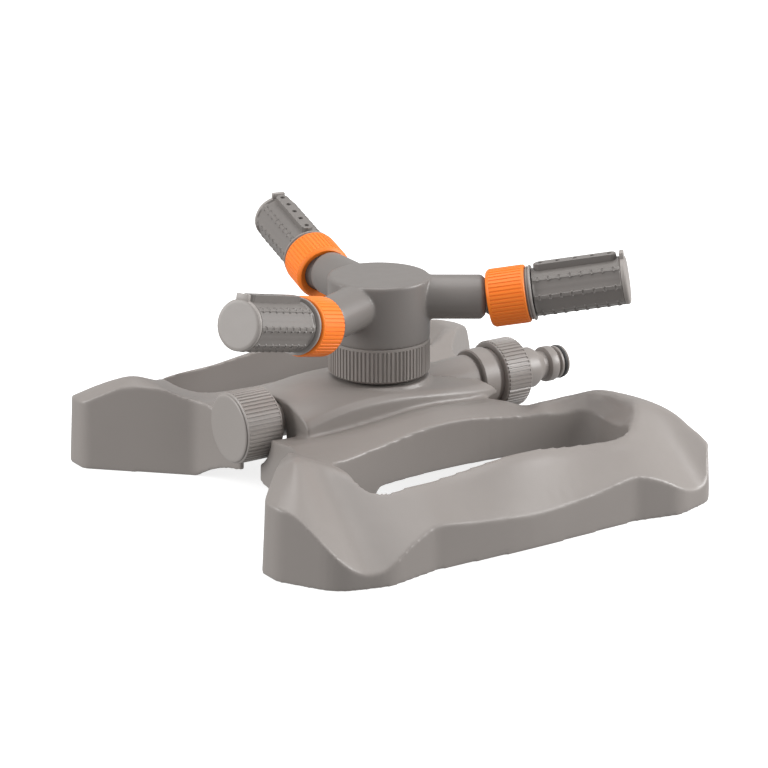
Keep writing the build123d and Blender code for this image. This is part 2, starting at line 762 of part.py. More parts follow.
with BuildPart() as rotor_hub:
    with BuildSketch(Plane.XY.offset(hub_parting)):
        Circle(hub_radius)
    extrude(amount=hub_top - hub_parting)
    fillet(rotor_hub.faces().sort_by(Axis.Z)[-1].edges(), hub_edge_round)
    with BuildSketch(Plane.XY.offset(hub_parting - hub_thread_length)):
        Circle(hub_thread_radius)
    extrude(amount=hub_thread_length)
    for arm_plane in arm_planes:
        add(turned(arm_plane, (
            (0.0, 0.0),
            (0.0, arm_radius),
            (arm_end - arm_chamfer, arm_radius),
            (arm_end, arm_radius - arm_chamfer),
            (arm_end, 0.0),
        )))
    # Skirt over the spindle flange, seal pocket, spindle bore and water chamber
    add(turned(world_axis, (
        (hub_parting - hub_thread_length, 0.0),
        (hub_parting - hub_thread_length, spindle_flange_radius + running_gap),
        (hub_shoulder, spindle_flange_radius + running_gap),
        (hub_shoulder, spindle_radius + seal_section),
        (seal_seat, spindle_radius + seal_section),
        (seal_seat, spindle_radius + running_gap),
        (arm_height - arm_bore_radius - 2.0, spindle_radius + running_gap),
        (arm_height - arm_bore_radius - 2.0, hub_radius - 4 * hub_wall),
        (hub_top - hub_wall, hub_radius - 4 * hub_wall),
        (hub_top - hub_wall, 0.0),
    )), mode=Mode.SUBTRACT)
    for arm_plane in arm_planes:
        with BuildSketch(arm_plane):
            Circle(arm_bore_radius)
        extrude(amount=arm_end, mode=Mode.SUBTRACT)
rotor_hub.part.label = "rotor_hub"
pieces["rotor_hub"] = rotor_hub.part

with BuildPart() as rotor_seal:
    with BuildSketch(Plane.XY.offset(hub_shoulder)):
        Circle(spindle_radius + seal_section)
        Circle(spindle_radius + 0.05, mode=Mode.SUBTRACT)
    extrude(amount=seal_height)
rotor_seal.part.label = "rotor_seal"
pieces["rotor_seal"] = rotor_seal.part

# Swivel nut: holds the hub down under the spindle flange
nut_body_radius = hub_radius - rib_depth
with BuildPart() as swivel_nut:
    add(turned(world_axis, (
        (nut_bottom, spindle_radius + 1.5),
        (nut_bottom, nut_body_radius - nut_edge_round),
        (nut_bottom + nut_edge_round, nut_body_radius),
        (hub_parting, nut_body_radius),
        (hub_parting, hub_thread_radius),
        (nut_bottom + nut_web, hub_thread_radius),
        (nut_bottom + nut_web, spindle_radius + 1.5),
    )))
    add(ribs_around(world_axis, nut_bottom + nut_edge_round, hub_parting - edge_break, hub_radius,
                    nut_ribs))
swivel_nut.part.label = "swivel_nut"
pieces["swivel_nut"] = swivel_nut.part

# Spray arms: each has a knuckle, a socket that tilts on it, a lock ring, a barrel and a plug
knuckle_seat = math.sqrt(ball_radius ** 2 - knuckle_neck_radius ** 2)
knuckle_mouth = math.sqrt(ball_radius ** 2 - knuckle_bore_radius ** 2)
cup_radius = ball_radius + running_gap
ring_lip = ring_start + ring_lip_depth
ring_lip_radius = math.sqrt(cup_radius ** 2 - ring_lip ** 2)
socket_start = ring_lip + ring_seat_depth + running_gap
for name, angle, tilt, swing in zip(arm_names, arm_angles, nozzle_tilts, nozzle_swings):
    arm_plane = arm_planes[arm_names.index(name)]
    heading = math.radians(angle + swing)
    lift = math.radians(tilt)
    aim = (
        math.cos(heading) * math.cos(lift),
        math.sin(heading) * math.cos(lift),
        math.sin(lift),
    )
    side = (-math.sin(heading), math.cos(heading), 0.0)
    ball_centre = (
        ball_reach * math.cos(math.radians(angle)),
        ball_reach * math.sin(math.radians(angle)),
        arm_height,
    )
    nozzle_plane = Plane(origin=ball_centre, x_dir=side, z_dir=aim)

    with BuildPart() as knuckle:
        add(turned(arm_plane, (
            (ball_reach + knuckle_mouth, knuckle_bore_radius),
            (arm_end - knuckle_plug_length, knuckle_bore_radius),
            (arm_end - knuckle_plug_length, knuckle_plug_radius),
            (arm_end, knuckle_plug_radius),
            (arm_end, knuckle_neck_radius),
            (ball_reach - knuckle_seat, knuckle_neck_radius),
        ), (ball_reach, ball_radius)))
    knuckle.part.label = "knuckle_" + name
    pieces[knuckle.part.label] = knuckle.part

    # Socket: a cup over the front of the ball, the grey flange and the barrel's spigot
    with BuildPart() as socket:
        add(turned(nozzle_plane, (
            (socket_start, math.sqrt(cup_radius ** 2 - socket_start ** 2)),
            (socket_start, socket_radius),
            (flange_start, socket_radius),
            (flange_start, flange_radius),
            (flange_start + flange_thickness, flange_radius),
            (flange_start + flange_thickness, socket_spigot_radius),
            (flange_start + flange_thickness + socket_spigot_length, socket_spigot_radius),
            (flange_start + flange_thickness + socket_spigot_length, socket_bore_radius),
            (math.sqrt(cup_radius ** 2 - socket_bore_radius ** 2), socket_bore_radius),
        ), (cup_radius * math.sqrt(0.5), cup_radius * math.sqrt(0.5))))
    socket.part.label = "socket_" + name
    pieces[socket.part.label] = socket.part

    with BuildPart() as lock_ring:
        ring_body_radius = ring_radius - rib_depth
        add(turned(nozzle_plane, (
            (ring_start, ring_mouth_radius),
            (ring_start + edge_break, ring_body_radius),
            (ring_end - edge_break, ring_body_radius),
            (ring_end, ring_body_radius - edge_break),
            (ring_end, ring_bore_radius),
            (ring_lip + ring_seat_depth, ring_bore_radius),
            (ring_lip, ring_lip_radius),
        )))
        add(ribs_around(nozzle_plane, ring_start + ring_round, ring_end - edge_break, ring_radius,
                        ring_ribs))
    lock_ring.part.label = "lock_ring_" + name
    pieces[lock_ring.part.label] = lock_ring.part

    # Barrel: eight ridges and flutes, a raised bar with its row of holes, open at the tip
    barrel_floor = barrel_start + 2.0
    with BuildPart() as barrel:
        with BuildSketch(nozzle_plane.offset(barrel_start)):
            Circle(barrel_radius)
            with PolarLocations(
                barrel_radius + flute_radius - flute_depth, flute_count, 180.0 / flute_count
            ):
                Circle(flute_radius, mode=Mode.SUBTRACT)
        extrude(amount=barrel_tip - barrel_start)
        with BuildSketch(nozzle_plane.offset(barrel_start)):
            Circle(socket_spigot_radius + running_gap)
        extrude(amount=barrel_tip, mode=Mode.SUBTRACT)
        bar_length = barrel_tip - barrel_start - 2 * bar_inset
        bar_plane = Plane(
            origin=nozzle_plane.from_local_coords((0, 0, barrel_start + bar_inset + bar_length / 2)),
            x_dir=aim,
            z_dir=nozzle_plane.y_dir,
        )
        with BuildSketch(bar_plane.offset(barrel_radius - 1.6)):
            SlotOverall(bar_length, bar_width)
        extrude(amount=bar_height + 1.6)
        with BuildSketch(bar_plane):
            with GridLocations(bar_hole_pitch, 1.0, bar_hole_count, 1):
                Circle(bar_hole_radius)
        extrude(amount=barrel_radius + bar_height, mode=Mode.SUBTRACT)
    barrel.part.label = "barrel_" + name
    pieces[barrel.part.label] = barrel.part

    with BuildPart() as end_plug:
        add(turned(nozzle_plane, (
            (barrel_tip - 4.0, 0.0),
            (barrel_tip - 4.0, socket_spigot_radius),
            (barrel_tip, socket_spigot_radius),
            (barrel_tip, barrel_radius - 0.1),
            (plug_face - plug_chamfer, barrel_radius - 0.1),
            (plug_face, barrel_radius - plug_chamfer),
            (plug_face, 0.0),
        )))
        tab_length = plug_face - plug_tab_inset - barrel_tip
        tab_plane = Plane(
            origin=nozzle_plane.from_local_coords((0, 0, barrel_tip + tab_length / 2)),
            x_dir=aim,
            z_dir=nozzle_plane.y_dir,
        )
        with BuildSketch(tab_plane.offset(socket_spigot_radius)):
            Rectangle(tab_length, bar_width)
        extrude(amount=barrel_radius + bar_height - socket_spigot_radius)
    end_plug.part.label = "end_plug_" + name
    pieces[end_plug.part.label] = end_plug.part

for node, solid in pieces.items():
    export_step(solid, "parts/" + node + ".step")
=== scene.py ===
"""Looks of a sled base garden sprinkler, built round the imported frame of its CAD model."""
from __future__ import annotations

import json
import logging
import math
from collections.abc import Callable, Sequence
from dataclasses import dataclass, field
from enum import Enum

import bmesh
import bpy
from mathutils import Matrix, Vector


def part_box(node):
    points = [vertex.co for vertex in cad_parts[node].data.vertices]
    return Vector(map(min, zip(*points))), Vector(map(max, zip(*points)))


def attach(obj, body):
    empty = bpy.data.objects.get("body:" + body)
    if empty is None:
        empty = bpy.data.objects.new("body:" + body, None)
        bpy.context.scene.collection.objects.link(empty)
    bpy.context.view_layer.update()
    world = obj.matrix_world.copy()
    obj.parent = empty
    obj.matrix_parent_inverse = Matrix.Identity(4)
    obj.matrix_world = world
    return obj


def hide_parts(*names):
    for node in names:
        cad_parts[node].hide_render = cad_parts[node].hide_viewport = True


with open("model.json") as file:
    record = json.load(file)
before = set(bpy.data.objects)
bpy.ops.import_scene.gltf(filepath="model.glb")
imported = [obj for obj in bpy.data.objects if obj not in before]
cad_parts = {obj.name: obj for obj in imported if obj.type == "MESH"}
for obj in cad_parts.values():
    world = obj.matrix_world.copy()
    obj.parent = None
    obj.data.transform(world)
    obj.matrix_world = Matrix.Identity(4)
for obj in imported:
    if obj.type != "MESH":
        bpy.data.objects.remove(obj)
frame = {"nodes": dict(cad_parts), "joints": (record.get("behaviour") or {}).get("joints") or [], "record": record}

log = logging.getLogger("sprinkler")

MM = 0.001
ROUND_STEPS = 128
SEAM_GAP = 0.1
KNURL_SHARE = 0.62

Ring = tuple[float, float]
Relief = Callable[[float, float], float]


class Slot(Enum):
    """Material slots of the record that the pieces take their finish from."""

    GREY = "grey_plastic"
    ORANGE = "orange_plastic"
    LIGHT = "light_plastic"
    WHITE = "white_plastic"
    RUBBER = "rubber"
    STEEL = "steel"


@dataclass(frozen=True)
class Moulding:
    """A moulded plastic finish: flow shading, fine surface grain and a painted highlight that makes sharp edges
    lighter.
    """

    name: str
    colour: tuple[float, float, float]
    roughness: float
    shading: float = 0.05
    grain_per_metre: float = 2600.0
    grain_height: float = 0.00003
    grain_strength: float = 0.35
    flow_per_metre: float = 28.0
    rub_per_metre: float = 160.0
    rub_range: tuple[float, float] = (-0.05, 0.06)
    edge_highlight_range: tuple[float, float] = (0.53, 0.66)
    edge_highlight_lift: float = 0.25
    edge_highlight_gain: float = 1.6
    edge_highlight_base: float = 0.02

    def material(self) -> bpy.types.Material:
        """Builds the node tree of the finish.

        Returns:
            The material, with its colour, roughness and grain worked out from Object coordinates.
        """
        made = bpy.data.materials.new(self.name)
        made.use_nodes = True
        tree = made.node_tree
        shader = tree.nodes["Principled BSDF"]
        shader.inputs["IOR"].default_value = 1.5
        place = tree.nodes.new("ShaderNodeTexCoord")
        flow = self.noise(tree, place, self.flow_per_metre, 3.0)
        tint = tree.nodes.new("ShaderNodeMix")
        tint.data_type = "RGBA"
        tint.inputs["A"].default_value = (*[part * (1.0 - self.shading) for part in self.colour], 1.0)
        tint.inputs["B"].default_value = (*[part * (1.0 + self.shading) for part in self.colour], 1.0)
        tree.links.new(flow.outputs["Fac"], tint.inputs["Factor"])
        # Painted highlight: convex edges, found by pointiness, are painted lighter to stand in for the light that
        # their rounds catch.
        edges = tree.nodes.new("ShaderNodeNewGeometry")
        painted_edge_highlight_mask = tree.nodes.new("ShaderNodeMapRange")
        painted_edge_highlight_mask.inputs["From Min"].default_value = self.edge_highlight_range[0]
        painted_edge_highlight_mask.inputs["From Max"].default_value = self.edge_highlight_range[1]
        painted_edge_highlight_mask.inputs["To Max"].default_value = self.edge_highlight_lift
        tree.links.new(edges.outputs["Pointiness"], painted_edge_highlight_mask.inputs["Value"])
        painted_edge_highlight_mix = tree.nodes.new("ShaderNodeMix")
        painted_edge_highlight_mix.data_type = "RGBA"
        edge_highlight_colour = [min(1.0, part * self.edge_highlight_gain + self.edge_highlight_base) for part in self.colour]
        painted_edge_highlight_mix.inputs["B"].default_value = (*edge_highlight_colour, 1.0)
        tree.links.new(painted_edge_highlight_mask.outputs["Result"], painted_edge_highlight_mix.inputs["Factor"])
        tree.links.new(tint.outputs["Result"], painted_edge_highlight_mix.inputs["A"])
        tree.links.new(painted_edge_highlight_mix.outputs["Result"], shader.inputs["Base Color"])
        rubbed = self.noise(tree, place, self.rub_per_metre, 2.0)
        gloss = tree.nodes.new("ShaderNodeMapRange")
        gloss.inputs["To Min"].default_value = self.roughness + self.rub_range[0]
        gloss.inputs["To Max"].default_value = self.roughness + self.rub_range[1]
        tree.links.new(rubbed.outputs["Fac"], gloss.inputs["Value"])
        tree.links.new(gloss.outputs["Result"], shader.inputs["Roughness"])
        grain = self.noise(tree, place, self.grain_per_metre, 1.0)
        bump = tree.nodes.new("ShaderNodeBump")
        bump.inputs["Strength"].default_value = self.grain_strength
        bump.inputs["Distance"].default_value = self.grain_height
        tree.links.new(grain.outputs["Fac"], bump.inputs["Height"])
        tree.links.new(bump.outputs["Normal"], shader.inputs["Normal"])
        return made

    @staticmethod
    def noise(tree: bpy.types.NodeTree, place: bpy.types.Node, scale: float,
              detail: float) -> bpy.types.Node:
        """Adds a noise pattern on Object coordinates.

        Args:
            tree: The node tree that gets the pattern.
            place: The coordinate node.
            scale: Pattern cells per metre.
            detail: Octaves of finer pattern.

        Returns:
            The noise node.
        """
        pattern = tree.nodes.new("ShaderNodeTexNoise")
        pattern.inputs["Scale"].default_value = scale
        pattern.inputs["Detail"].default_value = detail
        tree.links.new(place.outputs["Object"], pattern.inputs["Vector"])
        return pattern


@dataclass(frozen=True)
class Plated(Moulding):
    """A plated metal finish for the screws."""

    def material(self) -> bpy.types.Material:
        """Builds the moulded finish and makes it metallic."""
        made = super().material()
        made.node_tree.nodes["Principled BSDF"].inputs["Metallic"].default_value = 1.0
        return made


class Finishes:
    """All materials of the sprinkler, made once and shared by the pieces."""

    def __init__(self) -> None:
        """Makes one material for each slot, and the darker grey of the rotor's mouldings."""
        self.by_slot = {
            Slot.GREY: Moulding("warm_grey_plastic", (0.242, 0.219, 0.204), 0.38).material(),
            Slot.ORANGE: Moulding("orange_plastic", (0.86, 0.19, 0.008), 0.48, 0.03).material(),
            Slot.LIGHT: Moulding("light_grey_plastic", (0.275, 0.252, 0.236), 0.42).material(),
            Slot.WHITE: Moulding("white_plastic", (0.78, 0.78, 0.75), 0.35).material(),
            Slot.RUBBER: Moulding("seal_rubber", (0.018, 0.018, 0.018), 0.55).material(),
            Slot.STEEL: Plated("plated_steel", (0.62, 0.62, 0.6), 0.28).material(),
        }
        self.rotor_grey = Moulding("rotor_grey_plastic", (0.175, 0.160, 0.150), 0.4).material()

    def dress(self, thing: bpy.types.Object, slot: Slot) -> None:
        """Gives a CAD node or a new piece its finish.

        Args:
            thing: The object to dress.
            slot: The record's slot that it takes its finish from.
        """
        thing.data.materials.clear()
        thing.data.materials.append(self.by_slot[slot])

    def darken(self, thing: bpy.types.Object) -> None:
        """Gives a grey piece of the rotor its darker tone.

        Args:
            thing: The piece or CAD node.
        """
        thing.data.materials[0] = self.rotor_grey


def axis_frame(origin: Sequence[float], direction: Sequence[float]) -> Matrix:
    """A place whose Z runs along a direction and whose Y points as far up as it can.

    Args:
        origin: Where the place is, in metres.
        direction: Where its Z points.

    Returns:
        The place as a matrix.
    """
    along = Vector(direction).normalized()
    up = Vector((0.0, 0.0, 1.0))
    rise = (up - up.dot(along) * along).normalized()
    across = rise.cross(along)
    turn = Matrix((across, rise, along)).transposed().to_4x4()
    turn.translation = Vector(origin)
    return turn


def new_verts(made: dict) -> list[bmesh.types.BMVert]:
    """The vertices that a bmesh operator made."""
    return [item for item in made["geom"] if isinstance(item, bmesh.types.BMVert)]


def new_ring(made: dict) -> list[bmesh.types.BMEdge]:
    """The edges between the vertices that an extrusion made."""
    known = set(new_verts(made))
    return [item for item in made["geom"] if isinstance(item, bmesh.types.BMEdge)
            and item.verts[0] in known and item.verts[1] in known]


def reach_of(node: str) -> tuple[float, float]:
    """A node's lowest and highest X at rest, in millimetres."""
    low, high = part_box(node)
    return low[0] / MM, high[0] / MM


def evenly(start: float, end: float, pitch: float) -> list[float]:
    """Places from start to end, about a pitch apart."""
    count = max(1, round((end - start) / pitch))
    return [start + (end - start) * index / count for index in range(count + 1)]


def drawn_rings(rings: Sequence[Ring], steps: int, relief: Relief | None = None,
                closed: bool = False) -> bmesh.types.BMesh:
    """Draws a body along Z: a circle is extruded from ring to ring.

    Args:
        rings: Distance along Z and radius of each ring, in millimetres.
        steps: Vertices round each ring.
        relief: Extra radius in millimetres for an angle and a distance along Z.
        closed: Whether the last ring joins the first, as on a tube with a wall.

    Returns:
        The mesh in metres, with open ends filled.
    """
    bm = bmesh.new()
    bmesh.ops.create_circle(bm, cap_ends=False, segments=steps, radius=1.0)
    loop = list(bm.verts)
    edges = list(bm.edges)
    first_edges = edges
    for index, (along, radius) in enumerate(rings):
        if index:
            made = bmesh.ops.extrude_edge_only(bm, edges=edges)
            loop = new_verts(made)
            edges = new_ring(made)
        for vert in loop:
            angle = math.atan2(vert.co.y, vert.co.x)
            reach = radius + (relief(angle, along) if relief else 0.0)
            vert.co = Vector((reach * math.cos(angle), reach * math.sin(angle), along)) * MM
    if closed:
        bmesh.ops.bridge_loops(bm, edges=first_edges + edges)
    else:
        bmesh.ops.edgeloop_fill(bm, edges=first_edges)
        bmesh.ops.edgeloop_fill(bm, edges=edges)
    bmesh.ops.recalc_face_normals(bm, faces=bm.faces)
    return bm


def ribs(count: int, depth: float, start: float, end: float, share: float = 0.5) -> Relief:
    """Knurling: flat ribs with grooves between them, between two distances along the axis.

    Args:
        count: Ribs round the body.
        depth: Depth of the grooves in millimetres.
        start: Where the grooves start.
        end: Where they end.
        share: The ribs' share of the pitch.

    Returns:
        The relief.
    """
    def cut(angle: float, along: float) -> float:
        """Depth below the ribs at an angle and a distance along the axis."""
        if along < start or along > end:
            return 0.0
        turn = (angle / (2.0 * math.pi) * count) % 1.0
        return -depth if turn > share else 0.0
    return cut


def add_piece(bm: bmesh.types.BMesh, name: str, place: Matrix, body: str, slot: Slot,
              finishes: Finishes, replaced: Sequence[str] = (), crease: float = 30.0) -> bpy.types.Object:
    """Places a mesh in the frame, dresses it and hangs it on its body.

    Args:
        bm: The mesh, which is freed.
        name: Name of the piece.
        place: Where it goes.
        body: CAD body that it rides on.
        slot: Slot of its finish.
        finishes: The shared materials.
        replaced: CAD nodes that it stands for.
        crease: Edges that turn by more than this many degrees stay sharp.

    Returns:
        The piece.
    """
    bmesh.ops.transform(bm, matrix=place, verts=bm.verts)
    mesh = bpy.data.meshes.new(name)
    bm.to_mesh(mesh)
    bm.free()
    mesh.shade_smooth()
    mesh.set_sharp_from_angle(angle=math.radians(crease))
    piece = bpy.data.objects.new(name, mesh)
    bpy.context.scene.collection.objects.link(piece)
    finishes.dress(piece, slot)
    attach(piece, body)
    if replaced:
        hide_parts(*replaced)
    log.info("%s rides on %s", name, body)
    return piece


def softened_copy(node: str, cell: float, rounds: int, keep: float = 1.0) -> bmesh.types.BMesh:
    """A CAD node's shape with its edges rounded as moulded plastic has them.

    Args:
        node: The CAD node.
        cell: Size of the even cells that its surface is divided into, in millimetres.
        rounds: How many times the cells are smoothed.
        keep: Share of the faces that is kept at the end.

    Returns:
        The rounded mesh, in the row frame.
    """
    bm = bmesh.new()
    bm.from_mesh(frame["nodes"][node].data)
    bmesh.ops.remove_doubles(bm, verts=bm.verts, dist=0.002 * MM)
    mesh = bpy.data.meshes.new(node + "_source")
    bm.to_mesh(mesh)
    bm.free()
    holder = bpy.data.objects.new(node + "_source", mesh)
    bpy.context.scene.collection.objects.link(holder)
    cells = holder.modifiers.new("cells", "REMESH")
    cells.mode = "VOXEL"
    cells.voxel_size = cell * MM
    even = holder.modifiers.new("even", "SMOOTH")
    even.factor = 0.5
    even.iterations = rounds
    if keep < 1.0:
        fewer = holder.modifiers.new("fewer", "DECIMATE")
        fewer.ratio = keep
    shown = holder.evaluated_get(bpy.context.evaluated_depsgraph_get())
    result = bmesh.new()
    result.from_mesh(bpy.data.meshes.new_from_object(shown))
    bpy.data.objects.remove(holder)
    return result


@dataclass
class Sled:
    """The sled moulding: two pods with open wings, the bridge and the cover over the pipe."""

    cell: float = 0.8
    rounds: int = 5
    keep: float = 0.3

    def build(self, finishes: Finishes) -> None:
        """Makes the shell with its moulded edges."""
        shell = softened_copy("sled_base", self.cell, self.rounds, self.keep)
        add_piece(shell, "sled_shell", Matrix.Identity(4), "base", Slot.GREY, finishes,
                  ("sled_base",), 60.0)


@dataclass
class Rotor:
    """The hub with its three arms, and the knurled swivel nut under it."""

    cell: float = 0.55
    rounds: int = 8
    nut_ribs: int = 76
    nut_bottom: float = 49.2
    nut_top: float = 66.0
    nut_radius: float = 23.5
    nut_bore: float = 9.5
    nut_thread: float = 19.3
    nut_floor: float = 3.6
    rib_depth: float = 0.55
    rib_share: float = 0.66

    def build(self, finishes: Finishes) -> None:
        """Makes the hub and the nut."""
        hub = softened_copy("rotor_hub", self.cell, self.rounds)
        finishes.darken(add_piece(hub, "hub_and_arms", Matrix.Identity(4), "rotor", Slot.GREY,
                                  finishes, ("rotor_hub",), 50.0))
        rings = [
            (self.nut_bottom, self.nut_bore),
            (self.nut_bottom, self.nut_radius - 2.2),
            (self.nut_bottom + 0.5, self.nut_radius - 1.2),
            (self.nut_bottom + 1.4, self.nut_radius - 0.1),
            (self.nut_bottom + 1.5, self.nut_radius),
            (self.nut_top - 1.5, self.nut_radius),
            (self.nut_top - 1.4, self.nut_radius - 0.2),
            (self.nut_top - 0.35, self.nut_radius - 0.2),
            (self.nut_top - 0.05, self.nut_radius - 0.5),
            (self.nut_top - 0.05, self.nut_thread),
            (self.nut_bottom + self.nut_floor, self.nut_thread),
            (self.nut_bottom + self.nut_floor, self.nut_bore),
        ]
        knurl = ribs(self.nut_ribs, self.rib_depth, self.nut_bottom + 1.45, self.nut_top - 1.45,
                     self.rib_share)
        nut = drawn_rings(rings, self.nut_ribs * 6, knurl, closed=True)
        add_piece(nut, "swivel_nut_knurled", Matrix.Identity(4), "rotor", Slot.GREY, finishes,
                  ("swivel_nut",), 35.0)


@dataclass
class SprayArm:
    """One spray arm beyond its knuckle: lock ring, socket, barrel with its rows of holes, end disc."""

    name: str
    ring_start: float = -5.5
    ring_end: float = 12.3
    ring_radius: float = 13.4
    ring_bore: float = 11.6
    ring_ribs: int = 44
    ring_groove: float = 0.32
    rib_share: float = 0.66
    socket_start: float = -1.7
    socket_radius: float = 11.3
    flange_start: float = 12.7
    flange_radius: float = 12.8
    flange_thickness: float = 2.4
    spigot_radius: float = 7.6
    spigot_length: float = 12.0
    spigot_bore: float = 4.0
    barrel_start: float = 15.5
    barrel_tip: float = 56.0
    barrel_radius: float = 11.3
    barrel_bore: float = 7.9
    barrel_steps: int = 288
    barrel_pitch: float = 0.26
    ridge_count: int = 8
    rail_half: float = 0.8
    rail_height: float = 0.25
    flute_depth: float = 0.65
    mark_count: int = 8
    mark_pitch: float = 4.96
    mark_first: float = 18.4
    mark_half: tuple[float, float] = (1.4, 0.85)
    mark_hole: tuple[float, float] = (0.9, 0.42)
    mark_rise: float = 0.2
    mark_depth: float = 0.3
    bar_half: float = 3.2
    bar_height: float = 2.2
    bar_inset: float = 1.2
    bar_hole_radius: float = 1.1
    bar_hole_count: int = 5
    bar_hole_pitch: float = 7.9
    bar_hole_depth: float = 1.8
    bar_round: float = 0.35
    disc_face: float = 58.5
    disc_radius: float = 11.2
    tab_inset: float = 0.5

    def build(self, finishes: Finishes) -> None:
        """Makes the pieces of the arm in the place of its joint."""
        joint = next(item for item in frame["joints"] if item["name"] == "pattern_turn_" + self.name)
        place = axis_frame(joint["pos_m"], joint["axis"])
        self.lock_ring(place, finishes)
        self.socket(place, finishes)
        place = place @ Matrix.Rotation(self.roll(place), 4, "Z")
        self.barrel(place, finishes)
        self.disc(place, finishes)
        self.tab(place, finishes)

    def roll(self, place: Matrix) -> float:
        """How far the barrel is turned about its axis, found from the tab on its CAD end plug.

        Args:
            place: The arm's place with its Y upwards.

        Returns:
            The turn in radians.
        """
        to_arm = place.inverted()
        spots = [to_arm @ vert.co for vert in frame["nodes"]["end_plug_" + self.name].data.vertices]
        beyond = [spot for spot in spots if spot.xy.length > (self.barrel_radius + 1.0) * MM]
        middle = sum((spot.xy for spot in beyond), Vector((0.0, 0.0)))
        return math.atan2(-middle.x, middle.y)

    def lock_ring(self, place: Matrix, finishes: Finishes) -> None:
        """Makes the orange ring with its straight ribs."""
        start, end, reach = self.ring_start, self.ring_end, self.ring_radius
        rings = [
            (start + 1.4, 9.45), (start + 0.1, 11.7), (start, 12.0), (start + 0.2, 12.35),
            (start + 0.75, 12.85), (start + 1.5, reach - 0.1), (start + 1.6, reach),
            (end - 1.3, reach), (end - 1.2, reach - 0.1), (end - 0.4, reach - 0.1),
            (end, reach - 0.5), (end, self.ring_bore), (start + 3.5, self.ring_bore),
        ]
        relief = ribs(self.ring_ribs, self.ring_groove, start + 1.55, end - 1.25, self.rib_share)
        bm = drawn_rings(rings, self.ring_ribs * 10, relief, closed=True)
        add_piece(bm, "lock_ring_ribbed_" + self.name, place, "ring_" + self.name, Slot.ORANGE,
                  finishes, ("lock_ring_" + self.name,), 35.0)

    def socket(self, place: Matrix, finishes: Finishes) -> None:
        """Makes the socket: cup, the grey double lip before the barrel, and the spigot inside it."""
        start, reach = self.flange_start, self.flange_radius
        end = start + self.flange_thickness
        rings = [
            (self.socket_start, 10.2), (self.socket_start, self.socket_radius),
            (start, self.socket_radius), (start + 0.1, reach - 0.8), (start + 0.35, reach - 0.55),
            (start + 0.8, reach - 0.55), (start + 0.95, reach - 1.0), (start + 1.25, reach - 1.0),
            (start + 1.4, reach - 0.3), (start + 1.6, reach), (end - 0.3, reach),
            (end, reach - 0.35), (end, self.spigot_radius),
            (end + self.spigot_length, self.spigot_radius),
            (end + self.spigot_length, self.spigot_bore), (9.5, self.spigot_bore), (7.3, 7.3),
            (3.0, 9.85),
        ]
        bm = drawn_rings(rings, ROUND_STEPS, closed=True)
        add_piece(bm, "socket_lipped_" + self.name, place, "tilt_" + self.name, Slot.LIGHT, finishes,
                  ("socket_" + self.name,), 35.0)

    def rail(self, off: float, along: float) -> float:
        """Relief of one ridge with its row of raised oval eyelets, and of the flute beside it.

        Args:
            off: Distance round the barrel from the ridge's middle, in millimetres.
            along: Distance along the axis.

        Returns:
            Extra radius in millimetres, zero on the ridge.
        """
        last = self.mark_first + (self.mark_count - 1) * self.mark_pitch
        nearest = round((along - self.mark_first) / self.mark_pitch) * self.mark_pitch + self.mark_first
        from_mark = along - min(max(nearest, self.mark_first), last)
        if math.hypot(off / self.mark_hole[0], from_mark / self.mark_hole[1]) < 1.0:
            return self.mark_rise - self.mark_depth
        if math.hypot(off / self.mark_half[0], from_mark / self.mark_half[1]) < 1.0:
            return self.mark_rise
        if abs(off) <= self.rail_half:
            return 0.0
        half = math.pi * self.barrel_radius / self.ridge_count - self.rail_half
        share = min(1.0, (abs(off) - self.rail_half) / half * 1.3)
        return -self.rail_height - self.flute_depth * math.sin(0.5 * math.pi * share)

    def bar(self, off_angle: float, along: float) -> float | None:
        """Relief of the raised bar with its row of round holes.

        Args:
            off_angle: Angle from the bar's middle in radians.
            along: Distance along the axis.

        Returns:
            Extra radius in millimetres, or None beside the bar.
        """
        top = self.barrel_radius + self.bar_height
        across = top * math.tan(off_angle)
        middle = (self.barrel_start + self.barrel_tip) / 2.0
        run = (self.barrel_tip - self.barrel_start) / 2.0 - self.bar_inset - self.bar_half
        past_end = max(abs(along - middle) - run, 0.0)
        from_edge = self.bar_half - math.hypot(past_end, across)
        if from_edge < 0.0:
            return None
        low = middle - self.bar_hole_pitch * (self.bar_hole_count - 1) / 2.0
        for index in range(self.bar_hole_count):
            if math.hypot(along - low - index * self.bar_hole_pitch, across) < self.bar_hole_radius:
                return self.bar_height - self.bar_hole_depth
        rounded = self.bar_round * max(0.0, 1.0 - from_edge / 0.5) ** 2
        return (top - rounded) / math.cos(off_angle) - self.barrel_radius

    def outline(self, angle: float, along: float) -> float:
        """Relief of the barrel: the bar on top, seven ridges and the flutes between them.

        Args:
            angle: Angle round the axis in radians.
            along: Distance along the axis.

        Returns:
            Extra radius in millimetres.
        """
        pitch = 2.0 * math.pi / self.ridge_count
        turn = (angle - math.pi / 2.0 + math.pi) % (2.0 * math.pi) - math.pi
        raised = self.bar(turn, along) if abs(turn) < pitch else None
        if raised is not None:
            return raised
        off = (turn + pitch / 2.0) % pitch - pitch / 2.0
        ease = min(1.0, (along - self.barrel_start) / 1.2, (self.barrel_tip - along) / 0.6)
        return self.rail(off * self.barrel_radius, along) * max(0.0, ease)

    def barrel(self, place: Matrix, finishes: Finishes) -> None:
        """Makes the barrel with its raised bar and its rows of spray holes."""
        start, tip, reach = self.barrel_start, self.barrel_tip, self.barrel_radius
        rings = [(start, self.barrel_bore), (start, reach - 1.0), (start + 0.2, reach - 0.2)]
        rings += [(along, reach) for along in evenly(start + 0.5, tip - 0.4, self.barrel_pitch)]
        rings += [(tip - 0.1, reach - 0.2), (tip, reach - 0.5), (tip, self.barrel_bore)]

